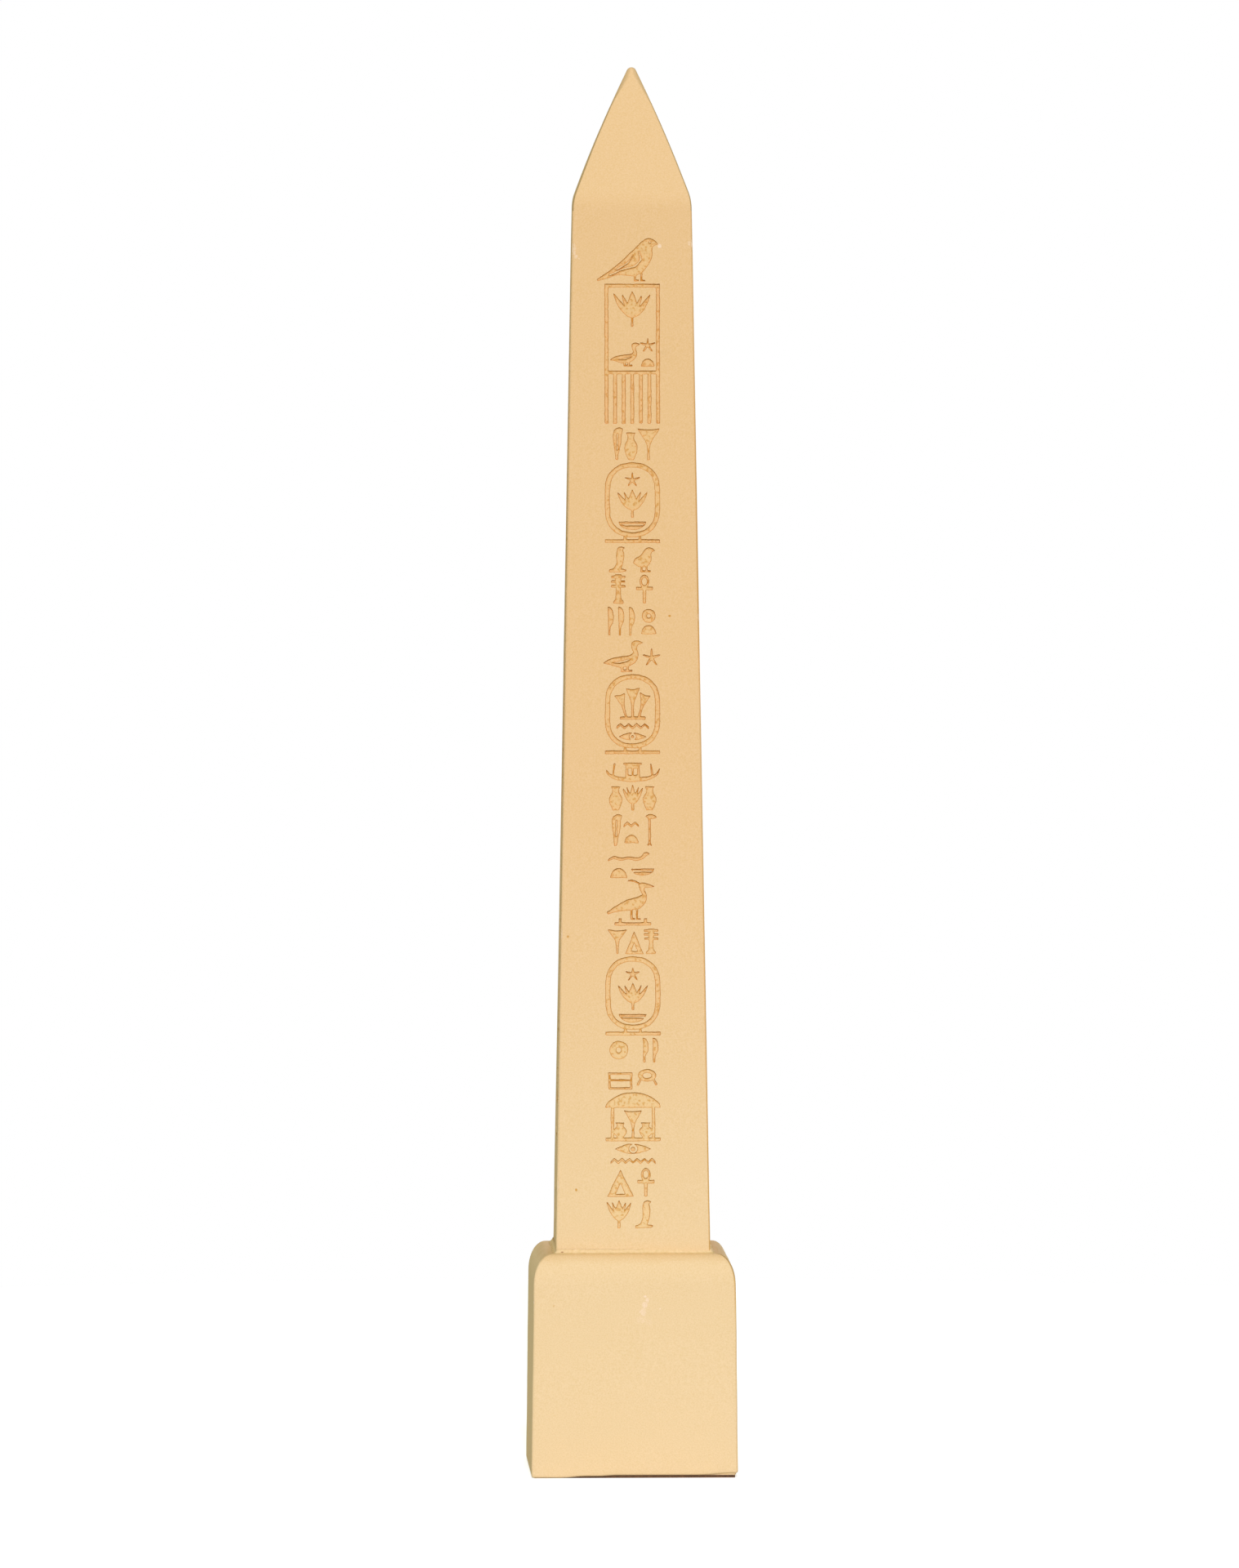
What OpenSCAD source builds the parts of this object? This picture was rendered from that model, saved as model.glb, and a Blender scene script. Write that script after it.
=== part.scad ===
// Free-standing obelisk: a base board, a block plinth with rounded shoulders, a tapered shaft
// with one carved column of ornament on each face, and a pyramidion with a rounded tip.
// Millimetres, Z up, origin on the floor under the middle of the plinth.

/* [Base board] */
// Thickness of the board under the plinth
board_thickness = 4; // [3:1:15]
// How far the board's edges stand back from the plinth's foot
board_setback = 4; // [0:1:20]

/* [Plinth] */
// Width of the square plinth at its foot
plinth_width = 293; // [285:1:360]
// Height of the plinth block by itself
plinth_height = 312.5; // [200:0.5:420]
// How far each side leans in between the foot and the top
plinth_draft = 3; // [0:0.5:4]
// Height over which the shoulders round off
shoulder_drop = 43; // [10:1:80]

/* [Foot fillet] */
// Height and width of the bead of filler around the shaft's foot
fillet_size = 5; // [3:0.5:10]
// Thickness that the bead keeps at its edges
fillet_lip = 0.8; // [0.4:0.1:1]
// Flat strip between the bead and the rounded shoulder
fillet_margin = 4; // [0:0.5:10]

/* [Shaft] */
// Width of the square shaft at its foot
shaft_foot_width = 219; // [190:1:222]
// Width of the shaft under the pyramidion
shaft_head_width = 168.5; // [140:0.5:190]
// Height of the shaft
shaft_height = 1494.5; // [1000:0.5:2000]

/* [Pyramidion] */
// Height of the pyramidion up to its rounded tip
pyramidion_height = 189; // [120:1:260]
// Radius of the rounded tip
tip_radius = 7; // [3:1:20]
// Radius of the slight swell of its sides
swell_radius = 1900; // [600:50:6000]

/* [Carving] */
// Depth of the carving, square to the face
carve_depth = 2.5; // [1:0.5:6]
// Distance from the shaft's head down to the carved column
column_drop = 51; // [40:1:120]
// Distance kept clear of carving at the shaft's foot
column_margin = 30; // [20:1:100]
// Space between one row of signs and the next
row_gap = 3.5; // [2:0.5:10]
// Width of the frames and rings
frame_width = 78; // [70:1:100]
// Width of the lines that draw frames, bars and stands
line_width = 5; // [3:0.5:6]
// Width of the lines that draw rings
ring_line = 7; // [4:0.5:10]
// Width of the thinner lines inside the signs
thin_line = 3; // [2:0.5:4]

/* [Hidden] */

sand = "#ebc58f";
board_brown = "#6e4f33";

plinth_top = board_thickness + plinth_height;
shaft_top = plinth_top + shaft_height;
beyond = 4 * plinth_width;

// The bead's reach from the shaft, and what the shelf around the shaft leaves for the rounded shoulder
fillet_reach = fillet_size + fillet_lip;
shoulder_reach = plinth_width / 2 - plinth_draft - shaft_foot_width / 2 - fillet_reach - fillet_margin;

// The angle at which a face of the shaft leans in, and the length of that face
shaft_lean = atan((shaft_foot_width - shaft_head_width) / 2 / shaft_height);
face_length = shaft_height / cos(shaft_lean);

// Heights of the rows of signs, from the top of the column down
row_heights = [64, 198, 48, 114, 38, 41, 42, 48, 113, 37, 36, 47, 42, 64, 37, 112, 35, 35, 70, 31, 41, 41];
column_top = face_length - column_drop;

function total(list, count) = count == 0 ? 0 : list[count - 1] + total(list, count - 1);
function row_foot(i) = column_top - total(row_heights, i + 1) - i * row_gap;

// A solid that shows the same outline from the front and from the side
module four_sided() {
    intersection() {
        rotate([90, 0, 0]) linear_extrude(beyond, center = true) children();
        rotate([90, 0, 90]) linear_extrude(beyond, center = true) children();
    }
}

module base_board() {
    width = plinth_width - 2 * board_setback;
    color(board_brown)
        translate([-width / 2, -width / 2, 0]) cube([width, width, board_thickness]);
}

// The shoulder is a quarter of an ellipse, from the side up to the flat top
module plinth_outline() {
    foot = plinth_width / 2;
    side = foot - plinth_draft;
    shoulder = [for (k = [0 : 14]) let (a = 90 * k / 14)
        [side - shoulder_reach * (1 - cos(a)), plinth_height - shoulder_drop * (1 - sin(a))]];
    other = [for (k = [14 : -1 : 0]) [-shoulder[k].x, shoulder[k].y]];
    polygon(concat([[-foot, 0], [foot, 0]], shoulder, other));
}

module plinth() {
    color(sand) translate([0, 0, board_thickness]) four_sided() plinth_outline();
}

module shaft_outline() {
    polygon([
        [-shaft_foot_width / 2, 0], [shaft_foot_width / 2, 0],
        [shaft_head_width / 2, shaft_height], [-shaft_head_width / 2, shaft_height]
    ]);
}

module shaft_body() {
    translate([0, 0, plinth_top]) four_sided() shaft_outline();
}

// The bead fills the corner between the plinth's top and the shaft
module foot_fillet() {
    width = shaft_foot_width + 2 * fillet_reach;
    color(sand) difference() {
        translate([0, 0, plinth_top]) four_sided() difference() {
            translate([-width / 2, 0]) square([width, fillet_reach]);
            for (side = [-1, 1])
                translate([side * width / 2, fillet_reach]) circle(r = fillet_size, $fn = 48);
        }
        shaft_body();
    }
}

// Each side swells out a little, along an arc from the corner to where it touches the tip's circle
module pyramidion_outline() {
    corner = [shaft_head_width / 2, 0];
    tip = [0, pyramidion_height - tip_radius];
    span = norm(corner - tip);
    down = (corner - tip) / span;
    inner = swell_radius - tip_radius;
    along = (inner ^ 2 - swell_radius ^ 2 + span ^ 2) / (2 * span);
    centre = tip + along * down + sqrt(inner ^ 2 - along ^ 2) * [down.y, -down.x];
    // Angles at which the arc leaves the corner and touches the tip
    leave = atan2(corner.y - centre.y, corner.x - centre.x);
    touch = atan2(tip.y - centre.y, tip.x - centre.x);
    side = [for (k = [0 : 8]) let (a = leave + (touch - leave) * k / 8)
        centre + swell_radius * [cos(a), sin(a)]];
    nose = [for (k = [1 : 11]) let (a = touch + (180 - 2 * touch) * k / 12)
        tip + tip_radius * [cos(a), sin(a)]];
    other = [for (k = [8 : -1 : 0]) [-side[k].x, side[k].y]];
    polygon(concat(side, nose, other));
}

module pyramidion() {
    color(sand) translate([0, 0, shaft_top]) four_sided() pyramidion_outline();
}

// A straight stroke with round ends, and a line of such strokes
module stroke(a, b, width) {
    run = b - a;
    translate(a) rotate(atan2(run.y, run.x)) {
        translate([0, -width / 2]) square([norm(run), width]);
        translate([norm(run), 0]) circle(d = width, $fn = 6);
    }
}
module line(points, width = thin_line) {
    for (i = [0 : len(points) - 2]) stroke(points[i], points[i + 1], width);
}
module mirrored() {
    children();
    mirror([1, 0]) children();
}

// Signs: each stands on y = 0, in the middle of x = 0
module disc(size) {
    translate([0, size / 2]) difference() {
        circle(d = size, $fn = 12);
        circle(d = size * 0.3, $fn = 8);
    }
}

module loaf(width) {
    intersection() {
        scale([1, 1.2]) circle(d = width, $fn = 12);
        translate([-width, 0]) square([2 * width, width]);
    }
}

module star(size) {
    translate([0, size / 2]) for (k = [0 : 4]) rotate(72 * k)
        polygon([[-size * 0.1, 0], [size * 0.1, 0], [size * 0.03, size * 0.55], [-size * 0.03, size * 0.55]]);
}

module ripple(width, waves = 4) {
    step = width / waves / 2;
    ridge = [for (k = [0 : 2 * waves]) [k * step - width / 2, (k % 2) * 5]];
    polygon(concat(
        [for (p = ridge) p + [0, thin_line + 1]],
        [for (k = [len(ridge) - 1 : -1 : 0]) ridge[k]]
    ));
}

module basket(width) {
    difference() {
        intersection() {
            translate([0, width * 0.3]) scale([1, 0.6]) circle(d = width, $fn = 12);
            translate([-width, 0]) square([2 * width, width * 0.3]);
        }
        translate([-width * 0.4, width * 0.17]) square([width * 0.8, 1.8]);
    }
}

module reed(height) {
    polygon([
        [-1.5, 0], [1.5, 0], [1.5, height * 0.3], [6, height * 0.45], [6.5, height * 0.75],
        [3, height * 0.97], [-2, height], [-1.5, height * 0.6]
    ]);
}

module feather(height) {
    difference() {
        polygon([
            [-1.8, 0], [1.8, 0], [2.5, height * 0.2], [6.5, height * 0.5],
            [7, height * 0.8], [9, height * 0.93],
            [4, height], [-4, height * 0.93], [-6, height * 0.7], [-3, height * 0.25]
        ]);
        polygon([[-0.4, height * 0.3], [1.2, height * 0.3], [1.8, height * 0.8], [0.2, height * 0.8]]);
    }
}

module jar(height) {
    polygon([
        [-4, 0], [4, 0], [9, height * 0.3], [9.5, height * 0.52], [4.5, height * 0.72], [4.5, height * 0.86],
        [7, height * 0.97], [-7, height * 0.97], [-4.5, height * 0.86], [-4.5, height * 0.72],
        [-9.5, height * 0.52], [-9, height * 0.3]
    ]);
}

module looped_cross(height) {
    translate([-2.2, 0]) square([4.4, height * 0.56]);
    translate([0, height * 0.52]) mirrored()
        polygon([[0, -1.8], [12, -2.6], [12, 2.6], [0, 1.8]]);
    difference() {
        translate([0, height * 0.76]) scale([0.72, 1]) circle(d = height * 0.48, $fn = 12);
        translate([0, height * 0.77]) scale([0.66, 1]) circle(d = height * 0.27, $fn = 12);
    }
}

module pillar(height) {
    polygon([
        [-7, 0], [7, 0], [7, 3.5], [3.6, 6], [3, height * 0.5], [4.5, height], [-4.5, height],
        [-3, height * 0.5], [-3.6, 6], [-7, 3.5]
    ]);
    for (k = [0 : 2]) translate([-10, height * (0.56 + 0.16 * k)]) square([20, 3.2]);
}

module lotus(width, height) {
    mirrored() polygon([
        [0, height * 0.45], [width * 0.14, height * 0.5], [width * 0.5, height * 0.93],
        [width * 0.38, height * 0.55],
        [width * 0.17, height * 0.3], [0, height * 0.24]
    ]);
    polygon([[0, height * 0.3], [width * 0.14, height * 0.62], [0, height], [-width * 0.14, height * 0.62]]);
    mirrored() polygon([
        [width * 0.02, height * 0.36], [width * 0.2, height * 0.56], [width * 0.3, height * 0.97],
        [width * 0.15, height * 0.7]
    ]);
    translate([-1.6, 0]) square([3.2, height * 0.36]);
}

module papyrus(width, height) {
    polygon([
        [-1.6, height * 0.5], [1.6, height * 0.5], [width * 0.3, height * 0.74], [width * 0.5, height * 0.97],
        [0, height * 0.92], [-width * 0.5, height * 0.97], [-width * 0.3, height * 0.74]
    ]);
    translate([-1.6, 0]) square([3.2, height * 0.6]);
}

module thicket(width, height) {
    papyrus(width * 0.4, height);
    mirrored() translate([width * 0.16, 0]) rotate(-16) papyrus(width * 0.32, height * 0.84);
    translate([-width * 0.36, 0]) square([width * 0.72, 4]);
}

module open_eye(width) {
    middle = width * 0.16;
    difference() {
        polygon([
            [-width * 0.5, middle], [-width * 0.2, middle * 1.9], [width * 0.15, middle * 1.9],
            [width * 0.5, middle], [width * 0.15, middle * 0.2], [-width * 0.2, middle * 0.2]
        ]);
        translate([0, middle * 1.03]) difference() {
            circle(d = width * 0.24, $fn = 12);
            circle(d = width * 0.12, $fn = 12);
        }
    }
}

module serpent(width) {
    polygon([
        [-width * 0.5, 0], [-width * 0.36, 4], [-width * 0.2, 0], [0, 3], [width * 0.2, 0], [width * 0.38, 4],
        [width * 0.44, 7.5], [width * 0.54, 10], [width * 0.46, 13.5], [width * 0.36, 11.5],
        [width * 0.34, 7.5],
        [width * 0.2, 4], [0, 7], [-width * 0.2, 4], [-width * 0.36, 8], [-width * 0.5, 2.5]
    ]);
}

module cobra(height) {
    polygon([
        [-13, 0], [10, 0], [12, 3.4], [4, 4.8], [7.5, height * 0.4], [8.5, height * 0.65],
        [6.5, height * 0.86],
        [10, height * 0.93], [4, height], [-1.5, height * 0.93], [-3, height * 0.62], [-2, height * 0.35],
        [-6, 5], [-13, 3.4]
    ]);
}

module legs(x, height, spread = 7) {
    for (k = [0, 1]) translate([x + k * spread, 0]) {
        translate([-1.4, 0]) square([2.8, height]);
        translate([-1.4, 0]) square([7, 2.4]);
    }
}

module falcon() {
    difference() {
        union() {
            polygon([
                [37, 52], [32, 59], [23, 62], [14, 57], [3, 46], [-14, 30], [-32, 15], [-50, 3], [-49, 0.5],
                [-33, 5], [-19, 10], [-7, 8], [4, 7], [15, 13], [25, 26], [29, 38], [28, 47], [31, 51]
            ]);
            legs(4, 12, 9);
        }
        translate([25, 55.5]) circle(d = 3.4, $fn = 8);
        line([[9, 43], [13, 31], [4, 21], [-12, 18], [-32, 9]], 1.7);
        line([[2, 38], [-6, 26], [-22, 17]], 1.5);
    }
}

module heron() {
    polygon([
        [32, 47], [21, 51], [13, 54], [8, 50], [10, 43], [14, 36], [8, 33], [-8, 29], [-24, 20], [-37, 11],
        [-35, 8], [-22, 12], [-6, 13], [10, 16], [19, 25], [20, 35], [16, 43], [18, 46]
    ]);
    line([[9, 52], [-1, 56], [-9, 55]], 2);
    legs(-2, 16, 8);
}

module goose(size) {
    scale(size / 40) {
        difference() {
            polygon([
                [21, 33], [14, 36], [8, 34], [7, 29], [10, 22], [6, 18.5], [-8, 17], [-20, 14], [-25, 9.5],
                [-17, 8], [-6, 5], [5, 6], [13, 11], [16, 19], [13, 27], [15, 30.5]
            ]);
            polygon([[8, 15], [-3, 10], [-15, 10.5], [-3, 12.5]]);
        }
        legs(-3, 8, 6);
    }
}

module chick(size) {
    scale(size / 38) {
        polygon([
            [17, 30], [11, 35], [4, 35], [0, 30], [-3, 24], [-12, 20], [-15, 13], [-8, 7.5], [1, 6.5],
            [8, 10], [11, 17], [10, 25], [12, 29]
        ]);
        legs(-3, 9, 7);
    }
}

module barque(width) {
    polygon([
        [-width * 0.5, 21], [-width * 0.47, 11], [-width * 0.3, 3], [0, 0.5], [width * 0.3, 3],
        [width * 0.47, 11], [width * 0.5, 21], [width * 0.42, 12], [width * 0.26, 8], [0, 7],
        [-width * 0.26, 8], [-width * 0.42, 12]
    ]);
    difference() {
        translate([-10, 7]) square([20, 19]);
        translate([-6.4, 11]) square([5, 9]);
        translate([1.4, 11]) square([5, 9]);
    }
    translate([-13, 25]) square([26, 3]);
    mirrored() line([[width * 0.36, 9], [width * 0.33, 26]], 2.4);
}

module chest(width, height) {
    difference() {
        translate([-width / 2, 0]) square([width, height]);
        translate([-width / 2 + thin_line, thin_line])
            square([width - 2 * thin_line, height - 2 * thin_line]);
    }
    translate([-width / 2, height * 0.5]) square([width, 2.2]);
}

module hill(width, height) {
    difference() {
        polygon([[-width / 2, 0], [width / 2, 0], [0, height]]);
        polygon([[-width * 0.17, 4], [width * 0.17, 4], [0, height * 0.5]]);
    }
}

module sceptre(height) {
    line([[-2.5, 0.5], [0, 5], [2.5, 0.5]], 2.4);
    line([[0, 4], [0, height - 6]], 2.8);
    polygon([
        [-1, height - 8], [2, height - 8], [10, height - 6], [9, height - 3], [-1, height], [-6, height - 4]
    ]);
}

module knot(width) {
    difference() {
        scale([1, 0.7]) circle(d = width, $fn = 12);
        scale([1, 0.6]) circle(d = width * 0.5, $fn = 12);
    }
    mirrored() line([[width * 0.3, -3], [width * 0.5, -width * 0.5]], 3);
}

// Frames that hold signs
module box_line(width, height) {
    difference() {
        translate([-width / 2, 0]) square([width, height]);
        translate([-width / 2 + line_width, line_width])
            square([width - 2 * line_width, height - 2 * line_width]);
    }
}

module round_box(width, height, radius) {
    translate([-width / 2 + radius, 0]) square([width - 2 * radius, height]);
    translate([-width / 2, radius]) square([width, height - 2 * radius]);
    for (x = [-1, 1], y = [radius, height - radius])
        translate([x * (width / 2 - radius), y]) circle(r = radius, $fn = 16);
}

module tied_ring(height) {
    foot = line_width + 3;
    radius = frame_width * 0.44;
    difference() {
        translate([0, foot]) round_box(frame_width, height - foot, radius);
        translate([0, foot + ring_line])
            round_box(frame_width - 2 * ring_line, height - foot - 2 * ring_line, radius - ring_line);
    }
    translate([-frame_width / 2, 0]) square([frame_width, line_width]);
    mirrored() translate([9, line_width - 1]) square([3.4, 5]);
    translate([0, foot + ring_line]) children();
}

module fronted_panel(height, front_height) {
    bars = 7;
    pitch = (frame_width - line_width) / (bars - 1);
    translate([0, front_height]) box_line(frame_width, height - front_height);
    for (k = [0 : bars - 1])
        translate([-frame_width / 2 + k * pitch, 0]) square([line_width, front_height + 1]);
    translate([0, front_height + line_width]) children();
}

module shrine(height) {
    mirrored() translate([frame_width / 2 - 12, 0]) square([4.4, height * 0.7]);
    polygon([
        [-frame_width / 2, height * 0.68], [frame_width / 2, height * 0.68],
        [frame_width / 2 - 1, height * 0.78],
        [frame_width * 0.25, height * 0.96], [0, height], [-frame_width * 0.25, height * 0.96],
        [-frame_width / 2 + 1, height * 0.78]
    ]);
    translate([-frame_width / 2, 0]) square([frame_width, line_width]);
    translate([0, line_width]) children();
}

module at(x, y = 0) {
    translate([x, y]) children();
}

// One row of the column; a row that no longer fits on the face is left out
module row(i) {
    if (row_foot(i) > column_margin) translate([0, row_foot(i)]) children();
}

module column() {
    row(0) falcon();
    row(1) fronted_panel(198, 70) {
        at(0, 62) lotus(54, 52);
        at(-8, 6) goose(38);
        at(22, 26) star(20);
        at(22, 6) loaf(19);
    }
    row(2) {
        at(-22) feather(47);
        at(-2) jar(40);
        at(23) papyrus(32, 46);
    }
    row(3) tied_ring(114) {
        at(0, 64) star(20);
        at(0, 21) lotus(44, 40);
        at(0, 3) basket(40);
    }
    row(4) {
        at(-20) cobra(37);
        at(16) chick(38);
    }
    row(5) {
        at(-20) pillar(41);
        at(17) looped_cross(41);
    }
    row(6) {
        for (k = [-1 : 1]) at(-18 + 15 * k) reed(41);
        at(23, 18) disc(20);
        at(23, 2) loaf(22);
    }
    row(7) {
        at(-11) goose(50);
        at(27, 8) star(24);
    }
    row(8) tied_ring(113) {
        at(0, 34) thicket(50, 46);
        at(0, 20) ripple(46);
        at(0, 3) open_eye(40);
    }
    row(9) barque(78);
    row(10) {
        at(-24) jar(35);
        at(0) lotus(30, 36);
        at(24) jar(35);
    }
    row(11) {
        at(-24) feather(46);
        at(-2, 26) ripple(22, 2);
        at(-2, 4) loaf(20);
        at(24) sceptre(46);
    }
    row(12) {
        at(-6, 24) serpent(58);
        at(-20) loaf(24);
        at(14, 3) basket(34);
    }
    row(13) {
        at(0, 8) heron();
        translate([-26, 0]) square([52, 4.6]);
        mirrored() at(18, 2) translate([-2, 0]) square([4, 8]);
    }
    row(14) {
        at(-22) papyrus(28, 36);
        at(2) hill(26, 32);
        at(26) pillar(36);
    }
    row(15) tied_ring(112) {
        at(0, 62) star(20);
        at(0, 21) lotus(44, 39);
        at(0, 3) basket(40);
    }
    row(16) {
        at(-20, 4) disc(27);
        at(16) reed(35);
        at(30) reed(35);
    }
    row(17) {
        at(-18) chest(34, 24);
        at(20, 20) knot(26);
    }
    row(18) shrine(70) {
        at(0, 0) papyrus(26, 40);
        mirrored() at(18, 0) jar(22);
    }
    row(19) {
        at(0, 15) open_eye(52);
        at(0, 2) ripple(64, 6);
    }
    row(20) {
        at(-18) hill(38, 38);
        at(18) looped_cross(41);
    }
    row(21) {
        at(-20) lotus(36, 41);
        at(16) cobra(40);
    }
}

// The column as one drawing
module carved_column() {
    offset(delta = 0.01) column();
}

module shaft() {
    color(sand) difference() {
        shaft_body();
        for (side = [0 : 3]) rotate([0, 0, 90 * side])
            translate([0, -shaft_foot_width / 2, plinth_top]) rotate([90 - shaft_lean, 0, 0])
                translate([0, 0, -carve_depth]) linear_extrude(carve_depth + 2) carved_column();
    }
}

base_board();
plinth();
foot_fillet();
shaft();
pyramidion();
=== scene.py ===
import itertools
import math

import bpy
import numpy as np
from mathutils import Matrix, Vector
from mathutils.geometry import delaunay_2d_cdt


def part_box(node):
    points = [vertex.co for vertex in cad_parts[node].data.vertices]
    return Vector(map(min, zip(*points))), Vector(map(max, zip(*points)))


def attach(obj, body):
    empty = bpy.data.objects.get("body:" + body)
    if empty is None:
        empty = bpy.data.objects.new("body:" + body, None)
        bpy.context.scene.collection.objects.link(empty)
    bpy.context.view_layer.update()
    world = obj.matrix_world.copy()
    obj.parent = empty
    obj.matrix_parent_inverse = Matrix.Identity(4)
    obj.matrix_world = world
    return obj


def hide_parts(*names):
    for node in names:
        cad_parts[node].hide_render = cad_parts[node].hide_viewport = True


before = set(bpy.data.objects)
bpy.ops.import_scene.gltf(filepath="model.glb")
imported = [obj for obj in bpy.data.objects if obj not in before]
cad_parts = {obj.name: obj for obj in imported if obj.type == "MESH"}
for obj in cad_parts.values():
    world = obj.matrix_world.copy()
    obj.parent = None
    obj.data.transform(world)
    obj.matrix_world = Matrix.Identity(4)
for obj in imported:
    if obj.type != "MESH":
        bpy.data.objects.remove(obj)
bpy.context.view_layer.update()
MM = 0.001


def solid_box(node):
    """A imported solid's lowest and highest corners, in millimetres."""
    return [np.array(corner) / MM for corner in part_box(node)]


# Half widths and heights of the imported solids, in millimetres
plinth_low, plinth_high = solid_box("plinth")
shaft_low, shaft_high = solid_box("shaft")
cap_low, cap_high = solid_box("pyramidion")
board_edge = solid_box("base_board")[1][0]
plinth_foot = plinth_high[0]
plinth_bottom = plinth_low[2]
plinth_top = plinth_high[2]
shaft_foot = shaft_high[0]
shaft_head = cap_high[0]
shaft_bottom = shaft_low[2]
shaft_top = cap_low[2]
tip_height = cap_high[2]

shaft_lean = math.atan2(shaft_foot - shaft_head, shaft_top - shaft_bottom)
face_length = (shaft_top - shaft_bottom) / math.cos(shaft_lean)

# Layers of unevenness: how high each one is and how wide its bumps are, in millimetres
cut_ragged = ((0.3, 8.0), (0.3, 4.5))
floor_rough = ((0.42, 3.4), (0.25, 7.5))
face_wave = ((0.35, 120), (0.12, 37))
cap_wave = ((0.4, 70), (0.15, 22))
plinth_wave = ((0.6, 95), (0.3, 31), (0.08, 9))


def smooth_step(x):
    """A soft ramp from 0 to 1 while x goes from 0 to 1."""
    x = np.clip(x, 0, 1)
    return x * x * (3 - 2 * x)


def soft_noise(points, cell, seed):
    """Smooth noise from -1 to 1, with bumps about cell millimetres wide, for points in 2 or 3 dimensions."""
    grid = np.asarray(points, float) / cell
    base = np.floor(grid).astype(np.int64)
    part = smooth_step(grid - base)
    # The value at each corner of a cell comes from its place and the seed, stirred by large odd numbers
    steps = np.array([374761393, 668265263, 2147483647])[: grid.shape[1]]
    total = np.zeros(len(grid))
    for corner in itertools.product((0, 1), repeat=grid.shape[1]):
        mixed = ((base + corner) @ steps + seed * 974634777) & 0xFFFFFFFF
        mixed = ((mixed ^ (mixed >> 13)) * 1274126177) & 0xFFFFFFFF
        value = ((mixed ^ (mixed >> 16)) & 0xFFFF) / 32767.5 - 1
        total += value * np.prod(np.where(corner, part, 1 - part), axis=1)
    return total


def layered_noise(points, seed, layers):
    """The sum of layers of soft noise, the first with this seed and each other one with the next."""
    return sum(high * soft_noise(points, wide, seed + n) for n, (high, wide) in enumerate(layers))


def turned(points, angle):
    """Points turned about the upright axis, all by one angle or each by its own, in radians."""
    x, y, z = np.asarray(points).T
    cos = np.cos(angle)
    sin = np.sin(angle)
    return np.stack([x * cos - y * sin, x * sin + y * cos, z], axis=1)


# An edge that bends by more than this, in degrees, stays hard
hard_bend = 38


def mesh_piece(name, points, faces, finish):
    """A mesh object from points in millimetres; finish gives attributes with a value for each point."""
    mesh = bpy.data.meshes.new(name)
    mesh.from_pydata([tuple(p) for p in np.asarray(points) * MM], [], faces)
    mesh.validate()
    for key, values in finish.items():
        mesh.attributes.new(key, "FLOAT", "POINT").data.foreach_set("value", np.asarray(values, np.float32))
    mesh.shade_smooth()
    mesh.set_sharp_from_angle(angle=math.radians(hard_bend))
    piece = bpy.data.objects.new(name, mesh)
    bpy.context.scene.collection.objects.link(piece)
    return piece


# The carved column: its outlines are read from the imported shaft's front face, then made ragged
face_origin = np.array([0, -shaft_foot, shaft_bottom])
face_across = np.array([1.0, 0, 0])
face_up = np.array([0, math.sin(shaft_lean), math.cos(shaft_lean)])
face_out = np.array([0, -math.cos(shaft_lean), math.sin(shaft_lean)])
# How deep it is cut, how far off that depth its floor may lie, and the radius of the shaft's edges
carve_depth = 2.5
floor_slack = 0.1
arris_radius = 2.2


def carved_outlines(mesh):
    """The closed outlines of the carving's floor on the front face, as points across and up that face."""
    mesh.calc_loop_triangles()
    corners = np.array([v.co for v in mesh.vertices]) / MM - face_origin
    flat = np.stack([corners @ face_across, corners @ face_up], axis=1)
    depth = corners @ face_out
    keys = {}
    ident = [keys.setdefault(tuple(p), len(keys)) for p in np.round(np.column_stack([flat, depth]), 2)]
    sides = set()
    place = {}
    for triangle in mesh.loop_triangles:
        a, b, c = triangle.vertices
        if max(abs(depth[i] + carve_depth) for i in (a, b, c)) > floor_slack:
            continue
        for i, j in ((a, b), (b, c), (c, a)):
            sides.add((ident[i], ident[j]))
            place[ident[i]] = flat[i]
    following = {}
    for i, j in sorted(sides):
        if (j, i) not in sides:
            following.setdefault(i, []).append(j)
    outlines = []
    while following:
        start = next(iter(following))
        loop = [start]
        while True:
            after = following[loop[-1]].pop()
            if not following[loop[-1]]:
                del following[loop[-1]]
            if after == start:
                break
            loop.append(after)
        outlines.append(np.array([place[i] for i in loop]))
    return outlines


def rounded_outline(loop, times=2, bend=62, most_share=0.25, longest_cut=6):
    """The outline with its gentle corners cut, so that only those past the bend, in degrees, stay sharp."""
    for _ in range(times):
        come = loop - np.roll(loop, 1, axis=0)
        go = np.roll(loop, -1, axis=0) - loop
        turn = np.degrees(np.abs(np.angle(np.exp(1j * (
            np.arctan2(go[:, 1], go[:, 0]) - np.arctan2(come[:, 1], come[:, 0]))))))
        cut = []
        for i, point in enumerate(loop):
            if turn[i] >= bend:
                cut.append(point)
                continue
            for run in (-come[i], go[i]):
                share = min(most_share, longest_cut / max(np.hypot(*run), 1e-6))
                cut.append(point + run * share)
        loop = np.array(cut)
    return loop


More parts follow.
